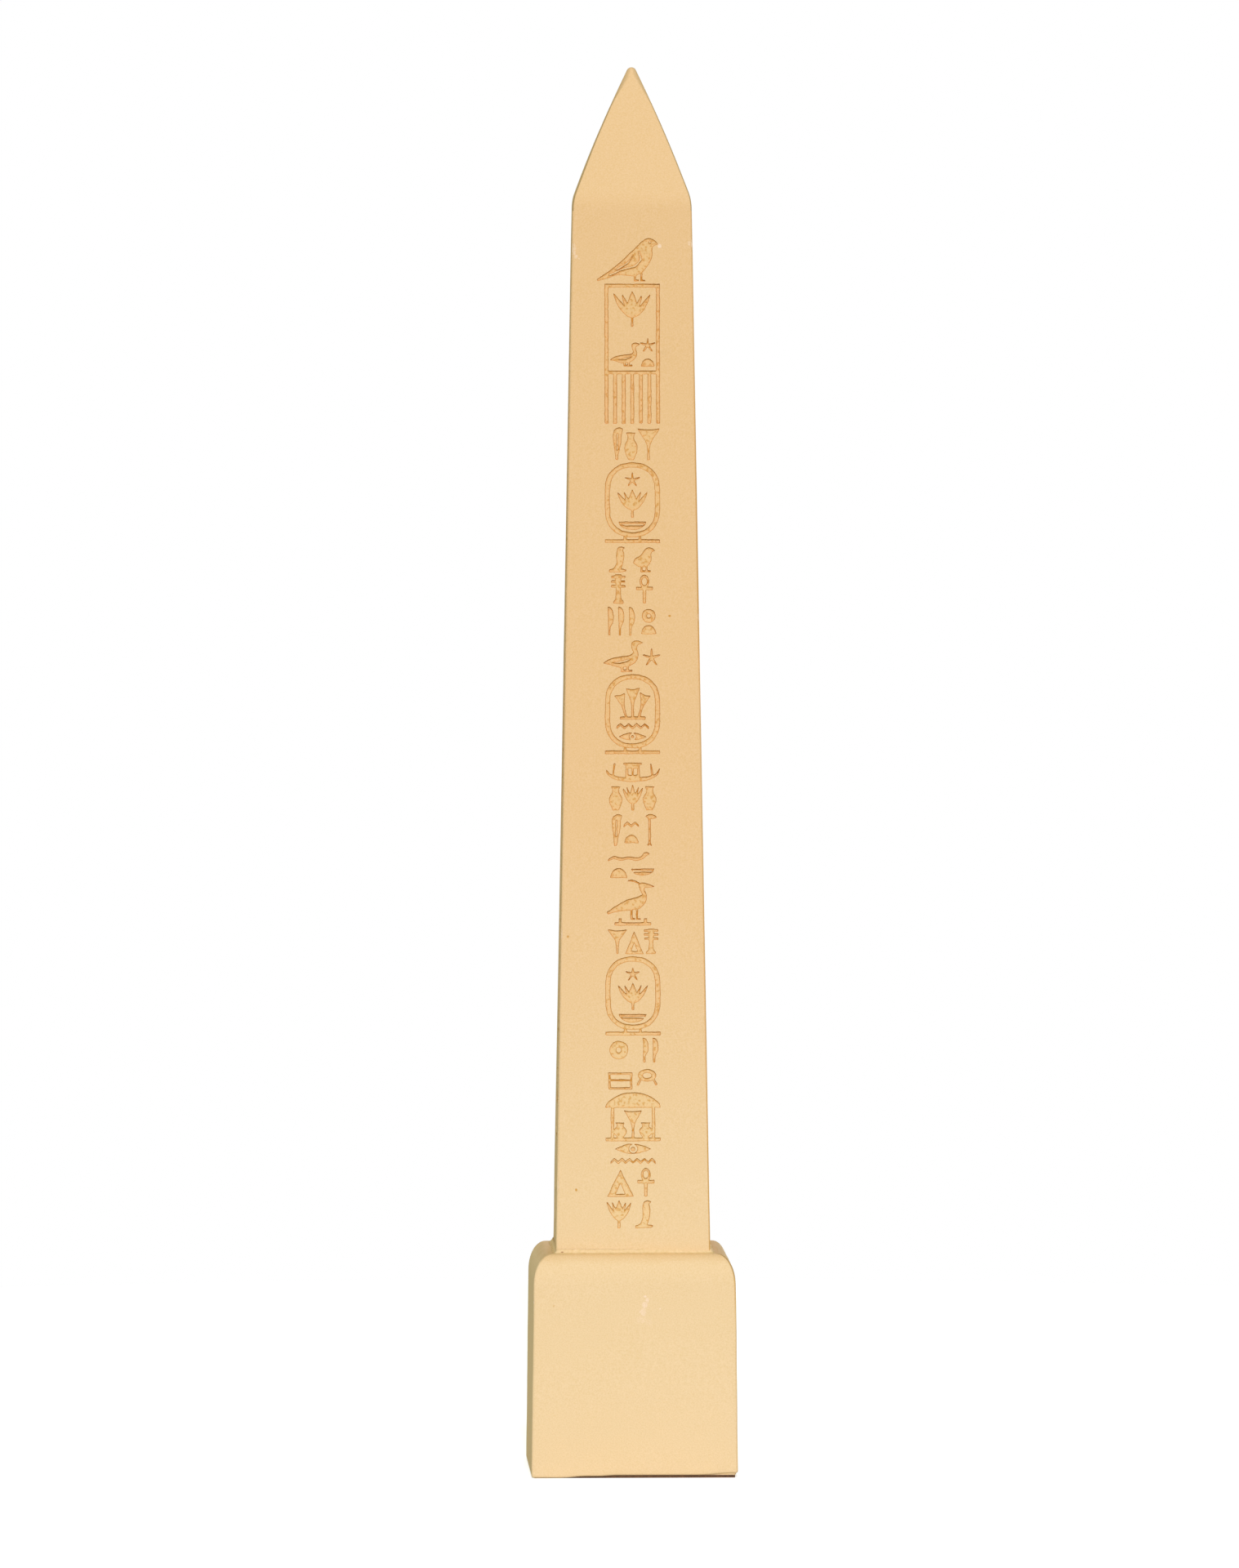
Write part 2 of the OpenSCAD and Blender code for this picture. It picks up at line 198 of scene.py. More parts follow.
def distance_field(outlines, across, up, reach):
    """The distance from the nearest outline on a grid, below zero inside the carving."""
    far = np.full((len(up), len(across)), float(reach))
    flips = np.zeros((len(up), len(across) + 1), int)
    for loop in outlines:
        for a, b in zip(loop, np.roll(loop, -1, axis=0)):
            run = b - a
            i0, i1 = np.searchsorted(across, [min(a[0], b[0]) - reach, max(a[0], b[0]) + reach])
            j0, j1 = np.searchsorted(up, [min(a[1], b[1]) - reach, max(a[1], b[1]) + reach])
            du = across[None, i0:i1] - a[0]
            dv = up[j0:j1, None] - a[1]
            along = np.clip((du * run[0] + dv * run[1]) / max(run @ run, 1e-12), 0, 1)
            near = np.hypot(du - along * run[0], dv - along * run[1])
            np.minimum(far[j0:j1, i0:i1], near, out=far[j0:j1, i0:i1])
            rows = np.arange(*np.searchsorted(up, sorted((a[1], b[1]))))
            if len(rows):
                crossing = a[0] + (up[rows] - a[1]) * run[0] / run[1]
                flips[rows, np.searchsorted(across, crossing)] += 1
    inside = np.cumsum(flips, axis=1)[:, :-1] % 2 == 1
    return np.where(inside, -far, far)


def contour(field, across, up, level, corner_gap=0.15):
    """The closed lines along which a gridded field passes a level, kept clear of the grid's corners."""
    rise = field - level
    above = rise > 0
    flat_cross = above[:, :-1] != above[:, 1:]
    tall_cross = above[:-1] != above[1:]
    flat_id = np.full(flat_cross.shape, -1)
    tall_id = np.full(tall_cross.shape, -1)
    flat_id[flat_cross] = np.arange(flat_cross.sum())
    tall_id[tall_cross] = np.arange(tall_cross.sum()) + flat_cross.sum()
    j, i = np.nonzero(flat_cross)
    share = np.clip(rise[j, i] / (rise[j, i] - rise[j, i + 1]), corner_gap, 1 - corner_gap)
    points = [np.stack([across[i] + share * (across[i + 1] - across[i]), up[j]], axis=1)]
    j, i = np.nonzero(tall_cross)
    share = np.clip(rise[j, i] / (rise[j, i] - rise[j + 1, i]), corner_gap, 1 - corner_gap)
    points.append(np.stack([across[i], up[j] + share * (up[j + 1] - up[j])], axis=1))
    cells = np.stack([flat_id[:-1], tall_id[:, :-1], flat_id[1:], tall_id[:, 1:]], axis=-1).reshape(-1, 4)
    crossings = (cells >= 0).sum(axis=1)
    lines = [np.sort(cells[crossings == 2], axis=1)[:, 2:]]
    saddles = cells[crossings == 4]
    lines += [saddles[:, :2], saddles[:, 2:]]
    points = np.concatenate(points)
    beside = {}
    for i, j in np.concatenate(lines).tolist():
        beside.setdefault(i, []).append(j)
        beside.setdefault(j, []).append(i)
    loops = []
    while beside:
        step, following = beside.popitem()
        loop = [step]
        while following:
            step = following[0]
            loop.append(step)
            following = [i for i in beside.pop(step) if i in beside]
        loops.append(points[loop])
    return loops


def without_straight_points(loop, slack):
    """The closed line without those of its points that lie within slack of the line past them."""
    for first in (1, 0, 1):
        before = np.roll(loop, 1, axis=0)
        run = np.roll(loop, -1, axis=0) - before
        past = loop - before
        off = np.abs(run[:, 0] * past[:, 1] - run[:, 1] * past[:, 0]) / np.maximum(np.hypot(*run.T), 1e-9)
        drop = off < slack
        drop[first::2] = False
        drop[-1] = False
        loop = loop[~drop]
    return loop


def sampled(field, across, up, points):
    """The field's value at free points, between those of its grid."""
    x = np.clip((points[:, 0] - across[0]) / (across[1] - across[0]), 0, len(across) - 1.001)
    y = np.clip((points[:, 1] - up[0]) / (up[1] - up[0]), 0, len(up) - 1.001)
    i = x.astype(int)
    j = y.astype(int)
    x -= i
    y -= j
    low = field[j, i] * (1 - x) + field[j, i + 1] * x
    high = field[j + 1, i] * (1 - x) + field[j + 1, i + 1] * x
    return low * (1 - y) + high * y


def half_width(v):
    """Half of the shaft's width, v millimetres up its face."""
    return shaft_foot - v * math.sin(shaft_lean)


def half_flat(v):
    """Half of a face's width between its rounded edges, v millimetres up it."""
    return half_width(v) - arris_radius


# The cap's sides swell a little, along an arc from the shaft's head to the worn tip
tip_radius = 7.0
swell_radius = 1900.0
head_corner = np.array([shaft_head, shaft_top])
tip_middle = np.array([0, tip_height - tip_radius])


def swell_arc():
    """The middle of the swell's arc, and the angles at which it leaves the head and touches the tip."""
    span = np.hypot(*(head_corner - tip_middle))
    down = (head_corner - tip_middle) / span
    inner = swell_radius - tip_radius
    along = (inner ** 2 - swell_radius ** 2 + span ** 2) / (2 * span)
    aside = math.sqrt(inner ** 2 - along ** 2)
    middle = tip_middle + along * down + aside * np.array([down[1], -down[0]])
    leave, touch = (math.atan2(*(point - middle)[::-1]) for point in (head_corner, tip_middle))
    return middle, leave, touch


swell_middle, swell_start, swell_end = swell_arc()

# The carved shaft ends and the cap begins at a seam just under the soft crease
crease_radius = 68.0
crease_reach = crease_radius * math.tan((swell_start - shaft_lean) / 2)
crease_gap = 4
seam = face_length - crease_reach - crease_gap

# Where points lie across the ends of a face, as shares of half its width, and up its edges
top_shares = np.linspace(-1, 1, 15)
edge_levels = np.linspace(0, seam, 270)

# The distance from the carving's outlines is worked out on a grid over the carved part of a face
grid_step = 1.2
carved_half = 58
carved_low = 25
carved_high = 1462
field_reach = 6.0
field_across = np.arange(-carved_half, carved_half + 0.1, grid_step)
field_up = np.arange(carved_low, carved_high, grid_step)

# A cut's section: how far from its outline each level line runs, below zero inside, then how deep the cut is
# there as a share of the whole depth, how much painted shade darkens it there, and how much more painted
# shadow lies under an upper edge
cut_section = {"lip": (0.2, 0, 0, 0), "wall": (-0.4, 1, 0.85, 0.15), "toe": (-1.1, 1, 0.05, 0.55)}
# Where the floor's own points start, how near an outline it is ragged, and how far a line is straightened
floor_start = -1.8
ragged_reach = 5
line_slack = 0.1
outlines = [rounded_outline(loop) for loop in carved_outlines(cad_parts["shaft"].data)]
clean_field = distance_field(outlines, field_across, field_up, field_reach)
field_points = np.stack(np.meshgrid(field_across, field_up), axis=-1).reshape(-1, 2)


def under_edge(field, loop):
    """1 along a line under a cut's upper edge, 0 along an upright one, and -1 over a lower edge."""
    above, below = (sampled(field, field_across, field_up, loop + [0, step]) for step in (1, -1))
    return np.clip((above - below) / 2, -1, 1)


def face_border():
    """The closed line round a face, inside its rounded edges."""
    left, right = (np.stack([s * half_flat(edge_levels), edge_levels], axis=1) for s in (-1, 1))
    inner_shares = top_shares[1:-1]
    bottom, top = (np.stack([inner_shares * half_flat(v), np.full(len(inner_shares), v)], axis=1)
                   for v in (0, seam))
    return np.concatenate([left, top, right[::-1], bottom[::-1]])


def open_points(field, spacing=19.0, shake=3, edge_gap=6, cut_gap=3):
    """Points spread unevenly over a face, clear of its edges and of the cuts, so that it can wave."""
    across, up = np.meshgrid(spacing * np.arange(-5, 6), np.arange(12, seam - 8, spacing))
    spread = np.stack([across.ravel(), up.ravel()], axis=1)
    spread = spread + shake * np.stack([soft_noise(spread, 11, 5), soft_noise(spread, 13, 6)], axis=1)
    clear = np.abs(spread[:, 0]) < half_flat(spread[:, 1]) - edge_gap
    clear &= sampled(field, field_across, field_up, spread) > cut_gap
    return spread[clear]


def carved_face(seed):
    """A face's points across and up, how far out each stands, its triangles, how cut it is and how darkened
    by painted shade.
    """
    ragged = layered_noise(field_points, seed, cut_ragged).reshape(clean_field.shape)
    field = clean_field + ragged * (np.abs(clean_field) < ragged_reach)
    floor = field_points.reshape(*clean_field.shape, 2)[::2, ::2][field[::2, ::2] < floor_start]
    loops = [(face_border(), 0, 0)]
    for level, deep, darkened, more in cut_section.values():
        for line in contour(field, field_across, field_up, level):
            line = without_straight_points(line, line_slack)
            # Lines under an upper edge get more of it: a painted shadow, as from light above
            loops.append((line, deep, np.maximum(darkened + more * under_edge(field, line), 0)))
    rows = loops + [(open_points(field), 0, 0), (floor, 1, 0)]
    points = np.concatenate([row for row, deep, darkened in rows])
    share_cut = np.concatenate([np.full(len(row), deep) for row, deep, darkened in rows])
    share_darkened = np.concatenate([np.broadcast_to(darkened, len(row)) for row, deep, darkened in rows])
    lines = []
    for loop, deep, darkened in loops:
        start = len(lines)
        lines += [(start + n, start + (n + 1) % len(loop)) for n in range(len(loop))]
    places, _, triangles, came_from, _, _ = delaunay_2d_cdt([Vector(p) for p in points], lines, [], 0, 1e-4)
    flat = np.array([tuple(p) for p in places])
    faces = [tuple(f) for f in triangles]
    # A point that the triangles add lies where two lines cross, so it counts as cut and darkened
    source = np.array([came[0] if came else -1 for came in came_from])
    cut = np.where(source < 0, 1, share_cut[source])
    dirt_and_shade = np.where(source < 0, 1, share_darkened[source])
    depth = carve_depth * (0.9 + 0.3 * soft_noise(flat, 38, seed + 2))
    rough = layered_noise(flat, seed + 3, floor_rough)
    fade = smooth_step(flat[:, 1] / 20) * smooth_step((seam - flat[:, 1]) / 40)
    wave = layered_noise(flat, seed + 5, face_wave)
    height = wave * fade - cut * (depth - rough)
    return flat, height, faces, cut, dirt_and_shade


def face_to_world(flat, height, side):
    """Places on the part of points across, up and out of a face; side 0 is the front, then anticlockwise."""
    place = face_origin + flat[:, :1] * face_across + flat[:, 1:] * face_up + height[:, None] * face_out
    return turned(place, side * math.pi / 2)


# How far the shaft is turned at its foot, and how much further at its head, in degrees
foot_turn = -0.55
more_turn = -0.75


def set_askew(points):
    """The shaft's points as it was set: turned a little on the plinth, and more towards its head."""
    turn = foot_turn + more_turn * (points[:, 2] - shaft_bottom) / (shaft_top - shaft_bottom)
    return turned(points, np.radians(turn))


# A rounded edge is drawn in so many steps
arc_steps = 3
# Worn spots on the shaft's edges: which edge, how far up, how long and how deep, in millimetres
edge_wear = [(3, 1422, 16, 0.8), (0, 1437, 9, 0.7), (0, 902, 7, 0.5), (3, 96, 9, 0.7), (3, 455, 6, 0.5),
             (1, 1210, 12, 0.8), (1, 330, 8, 0.7), (2, 760, 14, 0.9), (2, 70, 9, 0.8), (1, 655, 6, 0.5)]
# How much painted shade darkens each of the shaft's edges and how rubbed each is, its front left edge's rub
# standing partly for a painted highlight; how grey with painted shade the cap's edges are; and how much
# painted shade darkens and greys the plinth's shoulders, from the front or the edge after it and then
# anticlockwise
arris_shade = (0.8, 0.4, 0.6, 0)
arris_rub = (0, 0.4, 0.3, 0.55)
cap_grey_shade = (0.8, 0.6, 0.6, 1)
shoulder_shade = (0.17, 0.42, 0.22, 0.2)
shoulder_grey_shade = (0, 0.32, 0.2, 0.26)
# How grey the plinth's front right edge is painted with shade
front_edge_grey_shade = 0.6


def arc_angle(k):
    """The direction of point k on the rounded edge after the front, from the front to the next side."""
    return -math.pi / 2 + (math.pi / 2) * k / arc_steps


def worn_edge(side, worn_bare=0.6):
    """The rounded edge after a side: rows of points up it, how darkened by painted shade and how bare it is.
    """
    # A spot is fully worn within 0.4 of its length from its middle, and ends at 1.4
    wear = np.zeros(len(edge_levels))
    for edge, up, length, deep in edge_wear:
        if edge == side:
            wear = np.maximum(wear, deep * smooth_step(1.4 - np.abs(edge_levels - up) / length))
    grain = np.stack([edge_levels, np.full(len(edge_levels), 50.0 * side)], axis=1)
    wear *= 1 + 0.6 * soft_noise(grain, 6, 71)
    dull = (0.22 * soft_noise(grain, 15, 72) + 0.18) * smooth_step(edge_levels / 15)
    dull *= smooth_step((seam - edge_levels) / 15)
    inner = half_flat(edge_levels)
    height = shaft_bottom + edge_levels * math.cos(shaft_lean)
    rows = []
    for k in range(1, arc_steps):
        radius = arris_radius - (wear + dull) * math.sin(math.pi * k / arc_steps)
        x = inner + radius * math.cos(arc_angle(k))
        y = -inner + radius * math.sin(arc_angle(k))
        rows.append(turned(np.stack([x, y, height], axis=1), side * math.pi / 2))
    # Painted shade along the edge, stronger and weaker along it
    dirt_and_shade = arris_shade[side] * (0.6 + 0.4 * soft_noise(grain, 330, 73))
    bare = np.clip(wear / worn_bare, arris_rub[side], 1)
    return rows, dirt_and_shade, bare


def on_line(off, along, slack=0.01):
    """Which points lie on a line, in order along it."""
    found = np.nonzero(np.abs(off) < slack)[0]
    return found[np.argsort(along[found])]


def carved_shaft():
    """Four carved faces, the worn edges that join them, and flat ends."""
    points = []
    faces = []
    finish = {"carved": [], "dirt_and_shade": [], "bare": []}
    borders = []
    count = 0
    for side in range(4):
        flat, height, triangles, cut, dirt_and_shade = carved_face(20 * side + 3)
        points.append(face_to_world(flat, height, side))
        faces += [tuple(i + count for i in f) for f in triangles]
        for key, values in zip(finish, (cut, dirt_and_shade, np.zeros(len(flat)))):
            finish[key].append(values)
        limit = half_flat(flat[:, 1])
        edges = [on_line(flat[:, 0] - edge * limit, flat[:, 1]) + count for edge in (-1, 1)]
        ends = [on_line(flat[:, 1] - v, flat[:, 0]) + count for v in (0, seam)]
        borders.append((edges, ends))
        count += len(flat)
    end_rings = [[], []]
    for side in range(4):
        rows, dirt_and_shade, bare = worn_edge(side)
        strips = [borders[side][0][1]]
        for row in rows:
            points.append(row)
            for key, values in zip(finish, (np.zeros(len(row)), dirt_and_shade, bare)):
                finish[key].append(values)
            strips.append(np.arange(len(row)) + count)
            count += len(row)
        strips.append(borders[(side + 1) % 4][0][0])
        for a, b in zip(strips, strips[1:]):
            faces += list(zip(a[:-1].tolist(), b[:-1].tolist(), b[1:].tolist(), a[1:].tolist()))
        for end_ring, end, n in zip(end_rings, borders[side][1], (0, -1)):
            end_ring += end.tolist() + [int(strip[n]) for strip in strips[1:-1]]
    faces.append(tuple(end_rings[0][::-1]))
    faces.append(tuple(end_rings[1]))
    finish = {key: np.concatenate(values) for key, values in finish.items()}
    return mesh_piece("carved_shaft", set_askew(np.concatenate(points)), faces, finish)


carved = carved_shaft()
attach(carved, "root")
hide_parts("shaft")


def ring(half, height, radius, shares):
    """One level of a square body with rounded edges: points on each side by shares, then the edge's arc."""
    inner = half - radius
    local = [(share * inner, -half, height) for share in shares]
    for k in range(1, arc_steps):
        x = inner + radius * math.cos(arc_angle(k))
        y = -inner + radius * math.sin(arc_angle(k))
        local.append((x, y, height))
    return np.concatenate([turned(local, side * math.pi / 2) for side in range(4)])


def ring_sides(points, shares):
    """The side that each point of stacked rings is on, and whether it is on the rounded edge after it."""
    step = len(shares) + arc_steps - 1
    place = np.arange(len(points)) % (4 * step)
    return place // step, place % step >= len(shares)


def outward(points, upright, level):
    """The direction out of the body from its axis; upright is how much it rises away from a level."""
    away = points * [1, 1, upright] - [0, 0, upright * level]
    return away / np.maximum(np.linalg.norm(away, axis=1), 1e-6)[:, None]


def stacked_rings(rings):
    """Points and faces of rings joined one above the other, closed at both ends."""
    size = len(rings[0])
    faces = []
    for level in range(len(rings) - 1):
        low = level * size
        for n in range(size):
            after = (n + 1) % size
            faces.append((low + n, low + after, low + size + after, low + size + n))
    faces.append(tuple(range(size))[::-1])
    last = (len(rings) - 1) * size
    faces.append(tuple(last + n for n in range(size)))
    return np.concatenate(rings), faces


# The cap's edges grow rounder towards the tip: by how much, from how far below it and over what length
tip_rounding = 6.5
rounding_start = 55
rounding_length = 50
# The painted grey shade on them fades over this length below the tip, to a quarter
grey_shade_fade = 80


def pointed_cap():
    """The cap above the soft crease, with a tip that is worn round."""
    seam_height = shaft_bottom + seam * math.cos(shaft_lean)
    start = head_corner - crease_reach * np.array([-math.sin(shaft_lean), math.cos(shaft_lean)])
    crease_middle = start - crease_radius * np.array([math.cos(shaft_lean), math.sin(shaft_lean)])
    swell_from = swell_start + crease_reach / swell_radius
    arcs = [(crease_middle, crease_radius, np.linspace(shaft_lean, swell_start, 13)),
            (swell_middle, swell_radius, np.linspace(swell_from, swell_end, 18)[1:]),
            (tip_middle, tip_radius, np.linspace(swell_end, math.pi / 2, 12)[1:-1])]
    profile = [(half_width(seam), seam_height)]
    for middle, radius, angles in arcs:
        profile += [tuple(middle + radius * np.array([math.cos(a), math.sin(a)])) for a in angles]
    rings = []
    for half, height in profile:
        rounder = smooth_step((height - tip_height + rounding_start) / rounding_length)
        radius = arris_radius + tip_rounding * rounder
        rings.append(ring(half, height, min(radius, 0.98 * half), top_shares))
    points, faces = stacked_rings(rings)
    side, on_edge = ring_sides(points, top_shares)
    below_tip = tip_height - points[:, 2]
    # Painted shade greys the cap's edges, less towards the tip
    grey_shade = on_edge * np.array(cap_grey_shade)[side] * (0.25 + 0.75 * smooth_step(below_tip / grey_shade_fade))
    fade = smooth_step((points[:, 2] - seam_height) / 25) * smooth_step(below_tip / 30)
    wave = layered_noise(points, 81, cap_wave) * fade
    points = points + outward(points, 0.4, shaft_top) * wave[:, None]
    return mesh_piece("pointed_cap", set_askew(points), faces, {"grey_shade": grey_shade})


cap = pointed_cap()
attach(cap, "root")
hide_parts("pyramidion")


# The plinth: how far its sides lean in, how far its shoulders come down, the flat shelf round the shaft, and
# its soft foot and edges
side_draft = 3.0
shoulder_drop = 43.0
shoulder_foot = plinth_top - shoulder_drop
shelf = 9.8
soft_foot = 3.2
soft_edge = 3.0
# How far the coat hangs over the board, where that starts to the left and over what length it grows
coat_hang = 3.5
hang_start = -45
hang_length = 60
# How far the right front corner is worn up, how far out that starts and over what length it grows
corner_wear = 2.6
corner_start = 90
corner_length = 50
# How high both of them reach, and how far down the shoulders the painted shade below the bead reaches
rim_height = 16
near_bead_height = 14


def plinth_profile(foot_steps=4, side_steps=35, shoulder_steps=14):
    """Half widths and heights up the block: underside, soft foot, side, shoulder and top."""
    profile = [(half, plinth_bottom) for half in (20, 90, board_edge - 12, board_edge + 0.2)]
    for k in range(foot_steps + 1):
        angle = math.pi / 2 * k / foot_steps
        profile.append((plinth_foot - soft_foot + soft_foot * math.sin(angle),
                        plinth_bottom + soft_foot * (1 - math.cos(angle))))
    for share in np.linspace(0, 1, side_steps + 1)[1:]:
        height = plinth_bottom + soft_foot + share * (shoulder_foot - plinth_bottom - soft_foot)
        profile.append((plinth_foot - side_draft * share, height))
    shoulder_reach = plinth_foot - side_draft - shaft_foot - shelf
    for k in range(1, shoulder_steps + 1):
        angle = math.pi / 2 * k / shoulder_steps
        profile.append((plinth_foot - side_draft - shoulder_reach * (1 - math.cos(angle)),
                        plinth_top - shoulder_drop * (1 - math.sin(angle))))
    return profile + [(shaft_foot + reach, plinth_top) for reach in (6, 0, -14)] + [(60, plinth_top)]


def plinth_block():
    """The block under the shaft: leaning sides, shoulders a quarter of an ellipse, soft edges."""
    shares = np.linspace(-1, 1, 46)
    rings = [ring(half, height, soft_edge, shares) for half, height in plinth_profile()]
    points, faces = stacked_rings(rings)
    side, on_edge = ring_sides(points, shares)
    reach = np.abs(points[:, :2]).max(axis=1)
    fade = smooth_step((points[:, 2] - plinth_bottom) / 25) * (reach > shaft_foot + 3)
    fade *= np.where(points[:, 2] > plinth_top - 4, 0.3, 1)
    wave = layered_noise(points, 91, plinth_wave) * fade
    bulge = outward(points, 0.2, plinth_bottom + 150) * wave[:, None]
    # On the left the coat hangs down over the board's edge, and the right front corner is worn up
    hang = smooth_step((hang_start - points[:, 0]) / hang_length + 0.6 * soft_noise(points, 40, 94))
    worn_up = smooth_step((points[:, 0] - corner_start) / corner_length)
    worn_up *= smooth_step((-corner_start - points[:, 1]) / corner_length)
    rim = smooth_step((plinth_bottom + rim_height - points[:, 2]) / rim_height)
    rim *= reach > board_edge + 0.4
    points[:, 2] += rim * (corner_wear * worn_up - coat_hang * hang)
    # Painted shade darkens and greys the shoulders just below the bead and the edges, most at the front
    # right
    near_bead = (points[:, 2] - plinth_top + near_bead_height) / near_bead_height
    near_bead = smooth_step(near_bead + 0.25 * soft_noise(points, 30, 95))
    up_edge = 0.2 + 0.45 * smooth_step((points[:, 2] - shoulder_foot + 60) / 60)
    brown_dirt_and_shade = on_edge * np.array(arris_shade)[side] * up_edge
    edge_grey_shade = on_edge * (side == 0) * front_edge_grey_shade * smooth_step((points[:, 2] - shoulder_foot) / 25)
    finish = {"dirt_and_shade": np.maximum(near_bead * np.array(shoulder_shade)[side], brown_dirt_and_shade),
              "grey_shade": np.maximum(near_bead * np.array(shoulder_grey_shade)[side], edge_grey_shade)}
    return mesh_piece("plinth_block", points + bulge, faces, finish)


block = plinth_block()
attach(block, "root")
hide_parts("plinth")


def linear(hex_colour):
    """An sRGB hex colour as linear RGBA."""
    parts = [int(hex_colour[i:i + 2], 16) / 255 for i in (1, 3, 5)]
    return [c / 12.92 if c <= 0.04045 else ((c + 0.055) / 1.055) ** 2.4 for c in parts] + [1.0]


def add(tree, kind, inputs=(), **settings):
    """Adds a node with its settings; each input is a value, or a socket to link from.

    A Map Range node's inputs 1 and 2 are mapped to 3 and 4. A colour Mix node blends 6 to 7, into output 2.
    """
    made = tree.nodes.new(kind)
    for name, value in settings.items():
        setattr(made, name, value)
    for key, value in dict(inputs).items():
        if isinstance(value, bpy.types.NodeSocket):
            tree.links.new(value, made.inputs[key])
        else:
            made.inputs[key].default_value = value
    return made


def new_material(name):
    """An empty node material, and its tree."""
    material = bpy.data.materials.new(name)
    material.use_nodes = True
    material.node_tree.nodes.clear()
    return material, material.node_tree


def per_mm(size):
    """The scale of a pattern whose features are size millimetres wide."""
    return 1 / (size * MM)


# Rubbed spots: place in millimetres, how far they reach each way, and how strong they are
rubbed = [((14.7, -146, 258.2), (2.4, 30, 1.6), 1.4), ((17.5, -146, 253), (4.5, 30, 6), 0.82),
          ((14, -146, 246), (6, 30, 7), 0.84), ((12, -146, 236), (6, 30, 9), 0.78),
          ((7.4, -146, 236), (1.8, 30, 1.8), 0.9), ((9, -146, 225), (12, 30, 9), 0.64),
          ((20, -146, 221), (8, 30, 8), 0.62), ((35.9, -146, 240.7), (1.8, 30, 1.8), 0.95),
          ((-143.7, -143, 250), (2, 6, 2.5), 1.0), ((37, -90, 1746), (4, 30, 5), 0.9),
          ((-83.5, -87, 1741), (3.5, 12, 15), 0.74), ((-81.5, -88, 1731), (4.5, 12, 5), 0.8),
          ((-77, -88, 1728), (2, 12, 2), 0.85), ((79, -88, 1750), (4, 12, 5), 0.74)]
# Small dark marks, in the same way
stained = [((-82, -104, 407), (1.8, 30, 2.4), 0.9), ((51, -95, 1222), (2.2, 30, 1.6), 0.9),
           ((-93.5, -99, 767), (1.6, 30, 2), 0.8), ((-115, -146, 245), (1.4, 30, 1.6), 0.35)]
# Heights between which the coat is painted paler as painted light: down towards the foot, and up over the
# start of the cap
foot_painted_light = (1050, 150)
cap_painted_light = (1795, 1825)


def near_spots(tree, spot, spots, strength):
    """The strength that is given, or more near the spots: most within half of a spot's reach."""
    for place, reach, most in spots:
        away = add(tree, "ShaderNodeVectorMath", {0: spot, 1: [c * MM for c in place]}, operation="SUBTRACT")
        away = add(tree, "ShaderNodeVectorMath", {0: away.outputs[0], 1: [c * MM for c in reach]},
                   operation="DIVIDE")
        away = add(tree, "ShaderNodeVectorMath", {0: away.outputs[0]}, operation="LENGTH").outputs["Value"]
        near = add(tree, "ShaderNodeMapRange", {0: away, 1: 1.2, 2: 0.5, 3: 0.0, 4: most}).outputs[0]
        strength = add(tree, "ShaderNodeMath", {0: strength, 1: near}, operation="MAXIMUM").outputs[0]
    return strength
